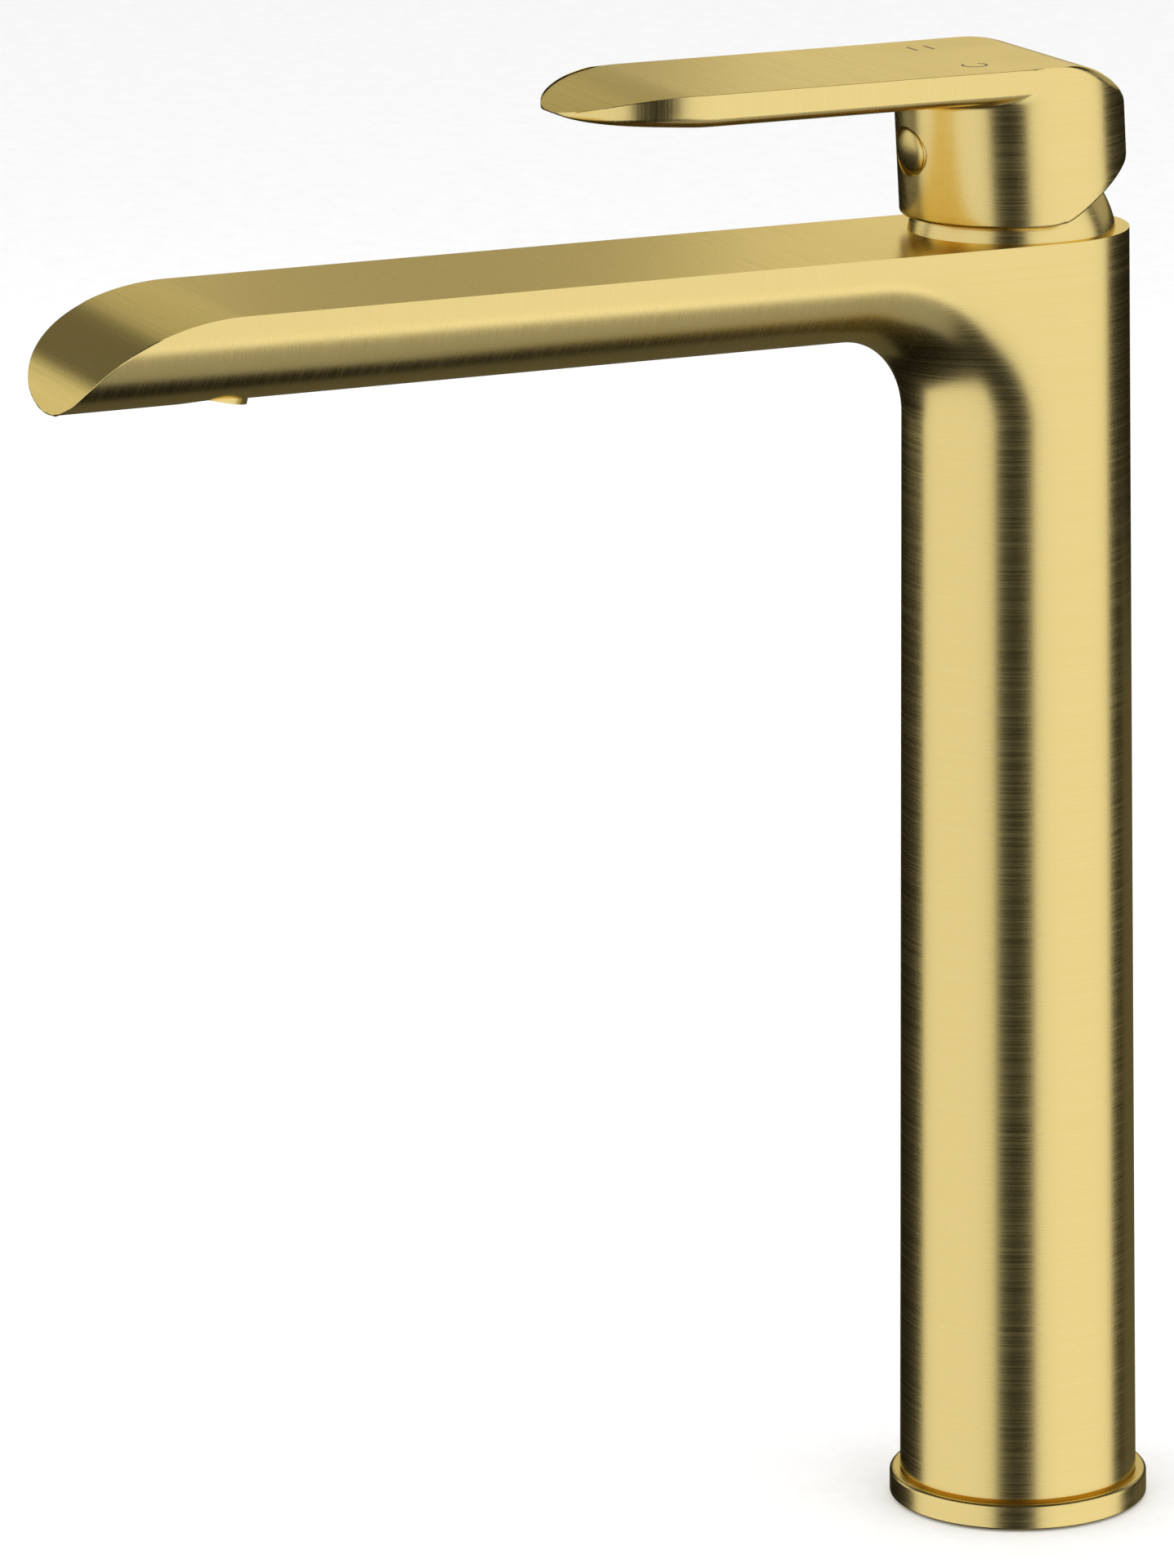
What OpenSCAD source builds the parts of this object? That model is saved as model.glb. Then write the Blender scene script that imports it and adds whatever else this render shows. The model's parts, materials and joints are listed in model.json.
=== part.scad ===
// Single-lever basin mixer: tall round column, flat straight spout, lever handle on a domed collar.
// Millimetres. Z is up, the spout and the lever point toward -Y, the deck is the plane z = 0.

/* [Column and spout] */
// height of the flat spout top above the deck
top_z = 272.1; // [230:0.1:330]
// distance from the column axis to the spout tip
reach = 209.7; // [165:0.1:252]
// column radius at the foot
col_r0 = 25; // [24.2:0.1:28]
// column radius at the top, which is also half the spout width
col_r1 = 23.3; // [22.8:0.1:25]
// depth of the rounded spout section
spout_depth = 20.3; // [18.8:0.1:25]
// radius of the bend between the column front and the spout underside
bend_r = 18; // [10:0.5:26]
// length of the rounded spout tip
tip_run = 34; // [24:0.5:42]
// depth the tip curve would reach at the very tip
tip_drop = 22; // [20.8:0.1:27]

/* [Base] */
// outside radius of the base flange
flange_r = 27.2; // [26:0.1:33]
// height of the base flange
flange_h = 5.8; // [4.8:0.1:8]
// gap under the flange rim that the gasket fills
gasket_gap = 0.6; // [0.3:0.1:1]
// pilot radius of the fixing stud thread
stud_r = 3.4; // [2.6:0.1:4.2]
// radius of each hose passage
hose_r = 6.8; // [6:0.1:7.4]

/* [Valve] */
// valve axis offset from the column axis
valve_y = -0.9; // [-2:0.1:0]
// radius of the valve cartridge
cart_r = 17.5; // [14.6:0.1:17.8]
// depth of the lever pivot below the spout top
pivot_drop = 3.7; // [3:0.1:5]
// distance from the pivot down to the ball end of the spindle
ball_arm = 11.5; // [10.5:0.1:12]
// pilot radius of the supply hose threads
inlet_r = 4.5; // [4:0.1:5]

/* [Handle] */
// height of the lever top above the spout top
lever_rise = 35.95; // [35:0.05:42]
// distance from the column axis to the lever tip
lever_reach = 102.9; // [85:0.1:124]
// half the lever width
lever_w = 23.15; // [19.3:0.05:23.3]
// lever thickness on its centre line
lever_t = 7.5; // [6.3:0.1:9]
// outside radius of the handle skirt
skirt_r = 23.55; // [23.2:0.05:25]
// gap between the spout top and the skirt
skirt_gap = 3.3; // [2.9:0.1:4]
// forward lean of the skirt in degrees
lean = 2.7; // [0:0.1:4]

/* [Aerator] */
// aerator radius
aer_r = 9; // [7.5:0.1:10.8]
// distance of the aerator from the spout tip
aer_back = 32.2; // [28:0.1:40]
// tilt of the aerator face in degrees
aer_tilt = 14; // [0:1:18]

/* [View] */
// which piece to draw

/* [Hidden] */
$fn = 96;
e = 0.01;

brass = [0.83, 0.70, 0.40];
inner_brass = [0.72, 0.58, 0.28];
steel = [0.72, 0.73, 0.75];
rubber = [0.10, 0.10, 0.11];
plastic = [0.86, 0.86, 0.84];
grey = [0.42, 0.44, 0.46];
ceramic = [0.93, 0.93, 0.91];

// levels measured down from the spout top
pivot_z = top_z - pivot_drop;
spout_z = top_z - spout_depth;
seat_z = top_z - 30.1;
base_top = seat_z + 4;
disc_gap = 0.05;
disc_z = base_top + 4 + disc_gap;
carrier_z = disc_z + 3;
carrier_h = 5.1;
cavity_top = seat_z + 19.2;
shoulder_z = top_z - 4.9;
neck_z = top_z - 0.6;
guide_top = top_z + 1.4;
nut_top = top_z + 2.9;
bore_r = cart_r + 0.1;
nut_r = cart_r + 1.5;
cavity_r = cart_r - 2.3;
journal_r = cart_r - 5;
port_x = 6.5;
port_y = valve_y + 5;
web_z = seat_z - 18;

// dome and handle cup share the pivot as their centre
dome_r = nut_r + 2.9;
dome_in = dome_r - 1.4;
cup_r = dome_r + 0.45;
dome_hole = 13.2;
lever_z = top_z + lever_rise;
skirt_z = top_z + skirt_gap;

// base levels
insert_z = 0.8;
insert_top = 15;
insert_r = 21;
hollow_r = 20;
braze_gap = 0.03;

function col_r(z) = col_r0 + (col_r1 - col_r0) * z / top_z;

// the front half is this much slimmer than the rear half it joins
seam = 0.03;
function front_w(z) = col_r(z) - seam;

// ---- column and spout outer form ----

steps = 36;
foot_edge = 0.6;
bend_z = spout_z - bend_r;
front_r = front_w(bend_z);
bend_y = -(front_r + bend_r);
corner = atan2(top_z - bend_z, -bend_y);
bend_steps = 7;
bend_angles = concat(
  [for (i = [0:bend_steps]) corner * i / bend_steps],
  [for (i = [1:bend_steps]) corner + (90 - corner) * i / bend_steps]
);

function ease(t) = t * t * (3 - 2 * t);
function bend_depth(a) = front_r + (spout_depth - front_r) * ease(a / 90);

// where a slice at angle a meets the rear half or the flat top, as [y, z]
function bend_edge(a) =
  abs(a - corner) < e ? [0, top_z]
  : a < corner ? [0, bend_z - bend_y * tan(a)]
  : [bend_y + (top_z - bend_z) / tan(a), top_z];

// one slice through the bend, at angle a from level
function bend_ring(a) = [
  for (j = [0:steps])
    let (
      s = 180 * j / steps,
      q = bend_r + bend_depth(a) * (1 - sin(s)),
      edge = j == 0 || j == steps,
      y = edge ? bend_edge(a)[0] : bend_y + q * cos(a),
      z = edge ? bend_edge(a)[1] : bend_z + q * sin(a)
    )
    [cos(s) * front_w(z), y, z]
];

// one upright slice through the spout, with its top lowered by drop
function spout_ring(y, drop) =
  let (s0 = asin(min(1, drop / spout_depth)))
  [
    for (j = [0:steps])
      let (s = s0 + (180 - 2 * s0) * j / steps, z = top_z - spout_depth * sin(s))
      [cos(s) * front_w(z), y, z]
  ];

tip_steps = 12;
tip_y = -(reach - tip_run);
tip_end = acos(1 - 0.985 * spout_depth / tip_drop);
tip_full = acos(1 - spout_depth / tip_drop);
tip_rings = [
  for (i = [0:tip_steps])
    let (a = tip_end * i / tip_steps)
    spout_ring(tip_y - tip_run * sin(a) / sin(tip_full), tip_drop * (1 - cos(a)))
];

function flat(v) = [for (r = v) for (p = r) p];

// closes a stack of equal rings into a solid
module loft(rings) {
  n = len(rings[0]);
  m = len(rings);
  sides = [
    for (i = [0:m - 2]) for (j = [0:n - 1])
      let (a = i * n + j, b = i * n + (j + 1) % n)
      each [[a, b, b + n], [a, b + n, a + n]]
  ];
  caps = [[for (j = [n - 1:-1:0]) j], [for (j = [0:n - 1]) (m - 1) * n + j]];
  polyhedron(points = flat(rings), faces = concat(sides, caps), convexity = 6);
}

// front half of a level slice through the column
function foot_ring(r, z) = [
  for (j = [0:steps])
    let (s = 180 * j / steps)
    [cos(s) * r, -sin(s) * r, z]
];

// rear half of the column
module rear_form() {
  edge_z = flange_h + foot_edge;
  intersection() {
    union() {
      translate([0, 0, flange_h])
        cylinder(h = foot_edge, r1 = col_r(edge_z) - foot_edge, r2 = col_r(edge_z));
      translate([0, 0, edge_z])
        cylinder(h = top_z - edge_z, r1 = col_r(edge_z), r2 = col_r1);
    }
    translate([-40, 0, 0])
      cube([80, 40, top_z + 1]);
  }
}

// front half of the column with the bend, up to where the spout is joined on
module front_form() {
  edge_z = flange_h + foot_edge;
  foot = [
    foot_ring(front_w(edge_z) - foot_edge, flange_h),
    foot_ring(front_w(edge_z), edge_z)
  ];
  loft(concat(foot, [for (a = bend_angles) bend_ring(a)]));
}

// level round bore running forward from y0 to y1
module level_bore(x, z, r, y0, y1) {
  translate([x, y0, z])
    rotate([90, 0, 0])
      cylinder(h = y0 - y1, r = r);
}

module at_valve(z) {
  translate([0, valve_y, z])
    children();
}

module at_pivot(tilt = lean) {
  translate([0, valve_y, pivot_z])
    rotate([tilt, 0, 0])
      children();
}

// local frame of the aerator: its mouth at the origin, +Z into the spout
aer_y = -(reach - aer_back);
aer_mouth = spout_z + 0.7;
aer_len = 8.6;
aer_bore = aer_len + 1.4;
module at_aerator() {
  translate([0, aer_y, aer_mouth])
    rotate([-aer_tilt, 0, 0])
      children();
}

water_z = spout_z + 6.8;
way_z = spout_z + 10.2;
hall_end = aer_y + 19;
module waterway() {
  level_bore(0, water_z, 4.2, valve_y - bore_r + 3, -29);
  level_bore(0, way_z, 7, -27, hall_end);
  for (x = [-1, 1])
    level_bore(x * 11.5, way_z + 1.5, 6, -27, hall_end);
  level_bore(0, way_z + 1.5, 3.6, hall_end + 2, aer_y);
  at_aerator()
    cylinder(h = aer_bore + 3, r = 4.5);
}

module column() {
  color(brass)
  difference() {
    union() {
      rear_form();
      front_form();
    }
    translate([0, 0, flange_h - 1])
      cylinder(h = insert_top - flange_h + 1, r = insert_r);
    translate([0, 0, insert_top - 1])
      cylinder(h = seat_z - insert_top + 1, r = hollow_r);
    at_valve(seat_z - 1)
      cylinder(h = shoulder_z - seat_z + 2, r = bore_r);
    at_valve(shoulder_z)
      cylinder(h = 10, r = nut_r);
    waterway();
  }
}

module spout() {
  color(brass)
  difference() {
    loft(concat([bend_ring(90)], tip_rings));
    waterway();
    at_aerator()
      translate([0, 0, -6])
        cylinder(h = aer_bore + 6, r = aer_r + 0.1);
  }
}

// block that is brazed into the column and takes the two supply hoses
module valve_seat() {
  color(inner_brass)
  difference() {
    translate([0, 0, web_z])
      cylinder(h = seat_z - web_z, r = hollow_r - braze_gap);
    for (s = [-1, 1]) {
      translate([s * port_x, port_y, web_z - 1])
        cylinder(h = 11, r = inlet_r);
      translate([s * port_x, port_y, web_z + 9])
        cylinder(h = 12, r = 3);
      translate([s * 11, valve_y - 6, seat_z - 2.2])
        cylinder(h = 4, r = 1.6);
    }
  }
}

// ---- base ----

module base_flange() {
  round_r = 0.8;
  color(brass)
  rotate_extrude()
    polygon(concat(
      [
        [insert_r + 0.05, 2],
        [flange_r - 1.7, 2],
        [flange_r - 1.7, gasket_gap],
        [flange_r - 0.3, gasket_gap],
        [flange_r, gasket_gap + 0.3]
      ],
      [
        for (a = [0:15:90])
          [flange_r - round_r + round_r * cos(a), flange_h - round_r + round_r * sin(a)]
      ],
      [
        [insert_r + 2.7, flange_h],
        [insert_r + 2.7, flange_h - 1.2],
        [insert_r + 1.3, flange_h - 1.2],
        [insert_r + 1.3, flange_h],
        [insert_r + 0.05, flange_h]
      ]
    ));
}

module ring(h, r_in, r_out) {
  difference() {
    cylinder(h = h, r = r_out);
    translate([0, 0, -1])
      cylinder(h = h + 2, r = r_in);
  }
}

module base_gasket() {
  color(rubber)
    ring(2, insert_r + 0.4, flange_r - 1.8);
}

module flange_seal() {
  color(rubber)
  translate([0, 0, flange_h - 1.2])
    ring(1.2, insert_r + 1.4, insert_r + 2.6);
}

module base_insert() {
  color(inner_brass)
  difference() {
    translate([0, 0, insert_z])
      cylinder(h = insert_top - insert_z, r = insert_r);
    for (s = [-1, 1])
      translate([s * 7.2, 4.5, 0])
        cylinder(h = insert_top + 1, r = hose_r);
    translate([0, -12.5, 0])
      cylinder(h = insert_top + 1, r = stud_r);
  }
}

// ---- valve cartridge ----

module cartridge_base() {
  color(plastic)
  difference() {
    union() {
      at_valve(seat_z)
        cylinder(h = 4, r = cart_r);
      for (s = [-1, 1])
        translate([s * 11, valve_y - 6, seat_z - 2])
          cylinder(h = 2.5, r = 1.5);
    }
    for (s = [-1, 1]) {
      translate([s * port_x, port_y, seat_z - 1])
        cylinder(h = 6, r = 3);
      translate([s * port_x, port_y, seat_z - 1])
        cylinder(h = 2.2, r = 5.2);
    }
  }
}

module port_seal(s) {
  color(rubber)
  translate([s * port_x, port_y, seat_z])
    ring(1.2, 3.3, 5.1);
}

module port_seal_hot() {
  port_seal(-1);
}

module port_seal_cold() {
  port_seal(1);
}

module fixed_disc() {
  color(ceramic)
  difference() {
    at_valve(base_top)
      cylinder(h = disc_z - disc_gap - base_top, r = cavity_r - 0.3);
    for (s = [-1, 1])
      translate([s * port_x, port_y, base_top - 1])
        cylinder(h = 6, r = 3);
  }
}

disc_r = cavity_r - 5.2;
// rearward shift of the spindle ball while the valve is shut
ball_y = valve_y + ball_arm * sin(lean);
ball_z = pivot_z - ball_arm * cos(lean);
ball_r = 3;

module moving_disc() {
  color(ceramic)
  difference() {
    translate([0, ball_y, disc_z])
      cylinder(h = 3, r = disc_r);
    translate([0, ball_y + 1, disc_z - 1])
      cylinder(h = 2.6, r = disc_r - 4.4);
  }
}

module disc_carrier() {
  w = ball_r + 0.35;
  color(grey)
  difference() {
    translate([0, ball_y, carrier_z])
      cylinder(h = carrier_h, r = disc_r);
    translate([-w, ball_y - w, carrier_z + 0.6])
      cube([2 * w, 2 * w, carrier_h]);
  }
}

window_w = 8;
module cartridge_housing() {
  color(plastic)
  difference() {
    union() {
      at_valve(base_top)
        cylinder(h = shoulder_z - base_top, r = cart_r);
      at_valve(shoulder_z - 1)
        cylinder(h = neck_z - shoulder_z + 1, r = journal_r + 2);
    }
    at_valve(base_top - 1)
      cylinder(h = cavity_top - base_top + 1, r = cavity_r);
    at_valve(cavity_top - 1)
      cylinder(h = 20, r = journal_r + 0.08);
    for (a = [0, 90, 180, 270])
      at_valve(disc_z + 1)
        rotate([0, 0, a])
          translate([-window_w / 2, 0, 0])
            cube([window_w, cart_r + 2, 8]);
    at_valve(shoulder_z - 3.6)
      difference() {
        cylinder(h = 1.8, r = cart_r + 1);
        translate([0, 0, -1])
          cylinder(h = 4, r = cart_r - 1.3);
      }
  }
}

module housing_seal() {
  color(rubber)
  at_valve(shoulder_z - 3.5)
    ring(1.6, cart_r - 1.3, bore_r);
}

slot_w = 3.6;
module spindle_guide() {
  tab = 10;
  color(plastic)
  difference() {
    union() {
      at_valve(cavity_top - 1.8)
        cylinder(h = 1.5, r = journal_r + 1.6);
      at_valve(cavity_top - 1)
        cylinder(h = guide_top - cavity_top + 1, r = journal_r);
      at_valve(neck_z + 0.3)
        rotate([0, 0, 90 - tab])
          rotate_extrude(angle = 2 * tab)
            translate([journal_r - 1, 0])
              square([2.8, guide_top - neck_z - 0.3]);
    }
    translate([-slot_w, valve_y - 8.4, cavity_top - 3])
      cube([2 * slot_w, 16.8, 30]);
    at_pivot()
      rotate([0, 90, 0])
        cylinder(h = 2 * journal_r - 3, r = 1.5, center = true);
  }
}

module spindle_pin() {
  color(steel)
  at_pivot()
    rotate([0, 90, 0])
      cylinder(h = 2 * journal_r - 3, r = 1.5, center = true);
}

square_w = 8;
hub_w = 6.6;
// the square starts here so that it clears the guide at full lift
square_from = guide_top - pivot_z + 2.6;
spindle_top = lever_rise - 1.7;
module spindle() {
  color(steel)
  at_pivot()
  difference() {
    union() {
      translate([0, 0, -ball_arm])
        sphere(r = ball_r);
      translate([0, 0, -ball_arm])
        cylinder(h = ball_arm, r = 2.2);
      rotate([0, 90, 0])
        cylinder(h = hub_w, r = 3.6, center = true);
      translate([-hub_w / 2, -hub_w / 2, 0])
        cube([hub_w, hub_w, square_from + 1]);
      translate([-square_w / 2, -square_w / 2, square_from])
        cube([square_w, square_w, spindle_top - square_from]);
    }
    rotate([0, 90, 0])
      cylinder(h = hub_w + 2, r = 1.56, center = true);
  }
}

module limit_ring() {
  gap = 65;
  color([0.75, 0.16, 0.12])
  at_valve(neck_z)
    rotate([0, 0, 90 + gap])
      rotate_extrude(angle = 360 - 2 * gap)
        translate([journal_r + 0.5, 0])
          square([1.5, 2]);
}

module cartridge_nut() {
  color(inner_brass)
  difference() {
    at_valve(shoulder_z)
      cylinder(h = nut_top - shoulder_z, r = nut_r);
    at_valve(shoulder_z - 1)
      cylinder(h = 20, r = journal_r + 2.3);
    for (a = [0:60:300])
      at_valve(nut_top - 1.6)
        rotate([0, 0, a])
          translate([journal_r + 1, -1.5, 0])
            cube([5, 3, 3]);
  }
}

module dome_cover() {
  color(brass)
  difference() {
    at_pivot(0)
      sphere(r = dome_r);
    difference() {
      at_pivot(0)
        sphere(r = dome_in);
      at_valve(top_z - 30)
        cylinder(h = 30 + nut_top - top_z, r = 40);
    }
    at_valve(top_z - 40)
      cylinder(h = 40, r = 40);
    at_valve(top_z - 1)
      cylinder(h = nut_top - top_z + 1, r = nut_r);
    at_valve(top_z)
      cylinder(h = 40, r = dome_hole);
    at_valve(top_z - 1)
      difference() {
        cylinder(h = 1.9, r = nut_r + 1.9);
        translate([0, 0, -1])
          cylinder(h = 4, r = nut_r + 1.1);
      }
  }
}

module dome_seal() {
  color(rubber)
  at_valve(top_z)
    ring(0.9, nut_r + 1.2, nut_r + 1.8);
}

// ---- handle ----

lever_steps = 32;
lever_tip_run = 27;
function power(v, k) = (v < 0 ? -1 : 1) * pow(abs(v), k);
function lever_ring(y, w, t, z) = [
  for (j = [0:lever_steps])
    let (s = 180 * j / lever_steps)
    [w * power(cos(s), 2 / 3), y, z - t * power(sin(s), 2 / 3)]
];

lever_y = -(lever_reach - lever_tip_run);
lever_rings = concat(
  [lever_ring(valve_y, lever_w, lever_t, lever_z)],
  [
    for (i = [0:12])
      let (
        a = 85 * i / 12,
        y = lever_y - lever_tip_run * sin(a),
        c = cos(a),
        dip = max(0, -y - lever_reach + 22.9) / 22.9
      )
      lever_ring(y, lever_w * c, lever_t * pow(c, 1.5), lever_z - 4.4 * dip * dip)
  ]
);

// side outline of the skirt, as [y, z]
cut_slope = 0.6;
back_y = 20.3;
back_run = 20;
back_drop = 15.5;
skirt_outline = concat(
  [[-40, skirt_z], [-1, skirt_z]],
  [for (t = [0:0.25:1]) [-1 + 4 * t, skirt_z + cut_slope * 2 * t * t]],
  [
    for (t = [0:0.2:1])
      [
        back_y - 4 * (1 - t) * (1 - t),
        skirt_z + cut_slope * (back_y - 1) + 4.4 * t * t - cut_slope * 4 * (1 - t) * (1 - t)
      ]
  ],
  [
    for (a = [0:7.5:90])
      [back_y - back_run + back_run * cos(a), lever_z - back_drop + back_drop * sin(a)]
  ],
  [[-40, lever_z]]
);

skirt_y = -0.83;
skirt_mid = 17.9;
module skirt_form() {
  intersection() {
    translate([0, skirt_y, top_z + skirt_mid])
      rotate([lean, 0, 0])
        cylinder(h = 60, r = skirt_r, center = true);
    rotate([90, 0, 90])
      linear_extrude(height = 80, center = true)
        polygon(skirt_outline);
  }
}

// screw line in the leaning frame
screw_z = 22.05;
plug_w = 6.9;
plug_h = 4.85;
plug_y = 23.5;
sleeve_w = 11;
sleeve_z = 23.5;
sleeve_top = lever_rise - 1.6;

// round bore running forward from a to b in the leaning frame
module screw_bore(r, a, b) {
  at_pivot()
    translate([0, -a, screw_z])
      rotate([90, 0, 0])
        cylinder(h = b - a, r = r);
}

module plug_bore(grow, a, b) {
  at_pivot()
    translate([0, -a, screw_z])
      rotate([90, 0, 0])
        scale([(plug_w + grow) / (plug_h + grow), 1, 1])
          cylinder(h = b - a, r = plug_h + grow);
}

module pocket() {
  difference() {
    at_valve(skirt_z + 3)
      cylinder(h = lever_rise - skirt_gap - 13, r = 17);
    at_pivot()
      cylinder(h = 60, r = 9.5);
    translate([-5.5, -60, 0])
      cube([11, 60, 400]);
  }
}

stroke = 0.5;
mark_depth = 0.3;
mark_y = -15;
module hot_strokes(h) {
  for (s = [-1, 1])
    translate([-13.3 - 2.6, mark_y + s * 1.9 - stroke / 2, lever_z - mark_depth])
      cube([5.2, stroke, h]);
}

module cold_strokes(h) {
  translate([12.4, mark_y, lever_z - mark_depth])
    rotate([0, 0, -140])
      rotate_extrude(angle = 280)
        translate([2.2, 0])
          square([stroke, h]);
}

module handle() {
  color(brass)
  difference() {
    union() {
      loft(lever_rings);
      skirt_form();
    }
    at_pivot(0)
      sphere(r = cup_r);
    pocket();
    at_pivot()
      translate([-sleeve_w / 2, -sleeve_w / 2, 15])
        cube([sleeve_w, sleeve_w, sleeve_top - 15]);
    screw_bore(2.5, 0, 30);
    plug_bore(0.3, 21.6, 34);
    hot_strokes(2);
    cold_strokes(2);
  }
}

module spindle_sleeve() {
  color(plastic)
  at_pivot()
  difference() {
    translate([-sleeve_w / 2, -sleeve_w / 2, sleeve_z + 1.5])
      cube([sleeve_w, sleeve_w, sleeve_top - sleeve_z - 1.5]);
    translate([-square_w / 2, -square_w / 2, 10])
      cube([square_w, square_w, spindle_top - 10]);
  }
}

module grub_screw() {
  color(steel)
  difference() {
    screw_bore(2.5, square_w / 2, 16);
    screw_bore(1.2, 13, 17);
  }
}

// domed oval button with a round peg behind it
module screw_cap() {
  base = 21.6;
  crown = 0.9;
  depth = plug_y - base - crown;
  color(brass)
  union() {
    at_pivot()
      translate([0, -base, screw_z])
        rotate([90, 0, 0])
          scale([plug_w / plug_h, 1, 1])
            rotate_extrude()
              polygon(concat(
                [[0, 0], [plug_h, 0]],
                [for (a = [0:15:90]) [plug_h * cos(a), depth + crown * sin(a)]]
              ));
    screw_bore(2.5, 17.5, base + 0.4);
  }
}

module mark_hot() {
  color(grey)
    hot_strokes(mark_depth);
}

module mark_cold() {
  color(grey)
    cold_strokes(mark_depth);
}

// ---- aerator ----

module aerator_housing() {
  color(brass)
  at_aerator()
  difference() {
    translate([0, 0, 0.4])
      cylinder(h = aer_len - 0.4, r = aer_r + 0.1);
    translate([0, 0, -1])
      cylinder(h = 2.2, r = aer_r - 1);
    translate([0, 0, 1])
      cylinder(h = aer_len, r = aer_r - 1.4);
  }
}

module aerator_screen() {
  hole = 1;
  pitch = 2.1;
  rows = 3;
  color(plastic)
  at_aerator()
  difference() {
    translate([0, 0, 1.2])
      cylinder(h = 1, r = aer_r - 1.4);
    for (i = [-rows:rows]) for (j = [-rows:rows])
      if (abs(i + j) <= rows)
        translate([pitch * (i + j / 2), pitch * j * sin(60), 0])
          cylinder(h = 4, r = hole * 0.75, $fn = 6);
  }
}

module aerator_insert() {
  color(grey)
  at_aerator()
  difference() {
    translate([0, 0, 2.2])
      cylinder(h = aer_len - 2.2, r = aer_r - 1.4);
    translate([0, 0, 1])
      cylinder(h = 4, r = aer_r - 2.6);
    for (a = [0:45:315])
      rotate([0, 0, a])
        translate([aer_r * 0.42, 0, 0])
          cylinder(h = 20, r = 1);
  }
}

module aerator_seal() {
  color(rubber)
  at_aerator()
    translate([0, 0, aer_len])
      ring(aer_bore - aer_len, aer_r - 3, aer_r);
}

column();
spout();
valve_seat();
base_flange();
base_gasket();
flange_seal();
base_insert();
cartridge_base();
port_seal_hot();
port_seal_cold();
fixed_disc();
moving_disc();
disc_carrier();
cartridge_housing();
housing_seal();
spindle_guide();
spindle_pin();
spindle();
limit_ring();
cartridge_nut();
dome_cover();
dome_seal();
handle();
spindle_sleeve();
grub_screw();
screw_cap();
mark_hot();
mark_cold();
aerator_housing();
aerator_insert();
aerator_screen();
aerator_seal();
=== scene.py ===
"""Looks of a tall single-lever basin mixer in brushed gold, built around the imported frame."""

import json
import math

import bmesh
import bpy
from mathutils import Matrix, Vector


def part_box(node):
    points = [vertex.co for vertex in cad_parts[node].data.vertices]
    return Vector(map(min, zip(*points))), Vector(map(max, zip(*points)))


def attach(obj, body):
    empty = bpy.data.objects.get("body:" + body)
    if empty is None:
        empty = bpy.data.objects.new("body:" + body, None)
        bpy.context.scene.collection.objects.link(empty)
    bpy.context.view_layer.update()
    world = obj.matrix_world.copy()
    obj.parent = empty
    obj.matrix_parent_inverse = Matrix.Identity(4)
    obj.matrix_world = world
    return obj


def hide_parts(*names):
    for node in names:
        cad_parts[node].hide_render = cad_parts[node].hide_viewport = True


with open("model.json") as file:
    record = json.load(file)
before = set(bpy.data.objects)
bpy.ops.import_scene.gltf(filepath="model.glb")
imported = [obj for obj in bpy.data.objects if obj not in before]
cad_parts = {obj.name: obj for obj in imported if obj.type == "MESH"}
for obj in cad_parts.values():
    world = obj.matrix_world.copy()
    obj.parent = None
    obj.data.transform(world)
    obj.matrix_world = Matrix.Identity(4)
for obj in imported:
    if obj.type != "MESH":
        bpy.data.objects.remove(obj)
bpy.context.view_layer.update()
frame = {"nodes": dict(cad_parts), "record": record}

MM = 0.001
ON_AXIS = 1e-7
QUARTER = math.pi / 2
low_column, high_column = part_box("column")
low_spout, high_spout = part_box("spout")
low_handle, high_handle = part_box("handle")
low_flange, high_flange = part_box("base_flange")
low_dome, high_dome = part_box("dome_cover")


# ---- small helpers ----


def clamp(t, low=0.0, high=1.0):
    return max(low, min(high, t))


def ease(t):
    t = clamp(t)
    return t * t * (3 - 2 * t)


def lerp(a, b, t):
    return a + (b - a) * t


def steps(count, first=0.0, last=1.0):
    """count + 1 even values from first to last."""
    return [lerp(first, last, i / count) for i in range(count + 1)]


def piece_from(bm, name, materials, angle=None):
    """A smooth-shaded object from a bmesh; edges sharper than the angle, in degrees, stay sharp."""
    bmesh.ops.remove_doubles(bm, verts=bm.verts, dist=0.001 * MM)
    bmesh.ops.recalc_face_normals(bm, faces=bm.faces)
    mesh = bpy.data.meshes.new(name)
    bm.to_mesh(mesh)
    bm.free()
    for material in materials:
        mesh.materials.append(material)
    mesh.polygons.foreach_set("use_smooth", [True] * len(mesh.polygons))
    if angle is not None:
        mesh.set_sharp_from_angle(angle=math.radians(angle))
    piece = bpy.data.objects.new(name, mesh)
    bpy.context.scene.collection.objects.link(piece)
    return piece


def weighted(piece):
    """Keeps large flat faces looking flat."""
    normals = piece.modifiers.new("normals", "WEIGHTED_NORMAL")
    normals.weight = 90
    normals.keep_sharp = True


def cut(piece, cutters, angle=35):
    """Takes the cutters away from the piece for good and deletes them."""
    for cutter in cutters:
        difference = piece.modifiers.new("cut", "BOOLEAN")
        difference.operation = "DIFFERENCE"
        difference.solver = "EXACT"
        difference.object = cutter
    graph = bpy.context.evaluated_depsgraph_get()
    graph.update()
    mesh = bpy.data.meshes.new_from_object(piece.evaluated_get(graph), depsgraph=graph)
    piece.modifiers.clear()
    piece.data = mesh
    mesh.set_sharp_from_angle(angle=math.radians(angle))
    for cutter in cutters:
        bpy.data.objects.remove(cutter)


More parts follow.
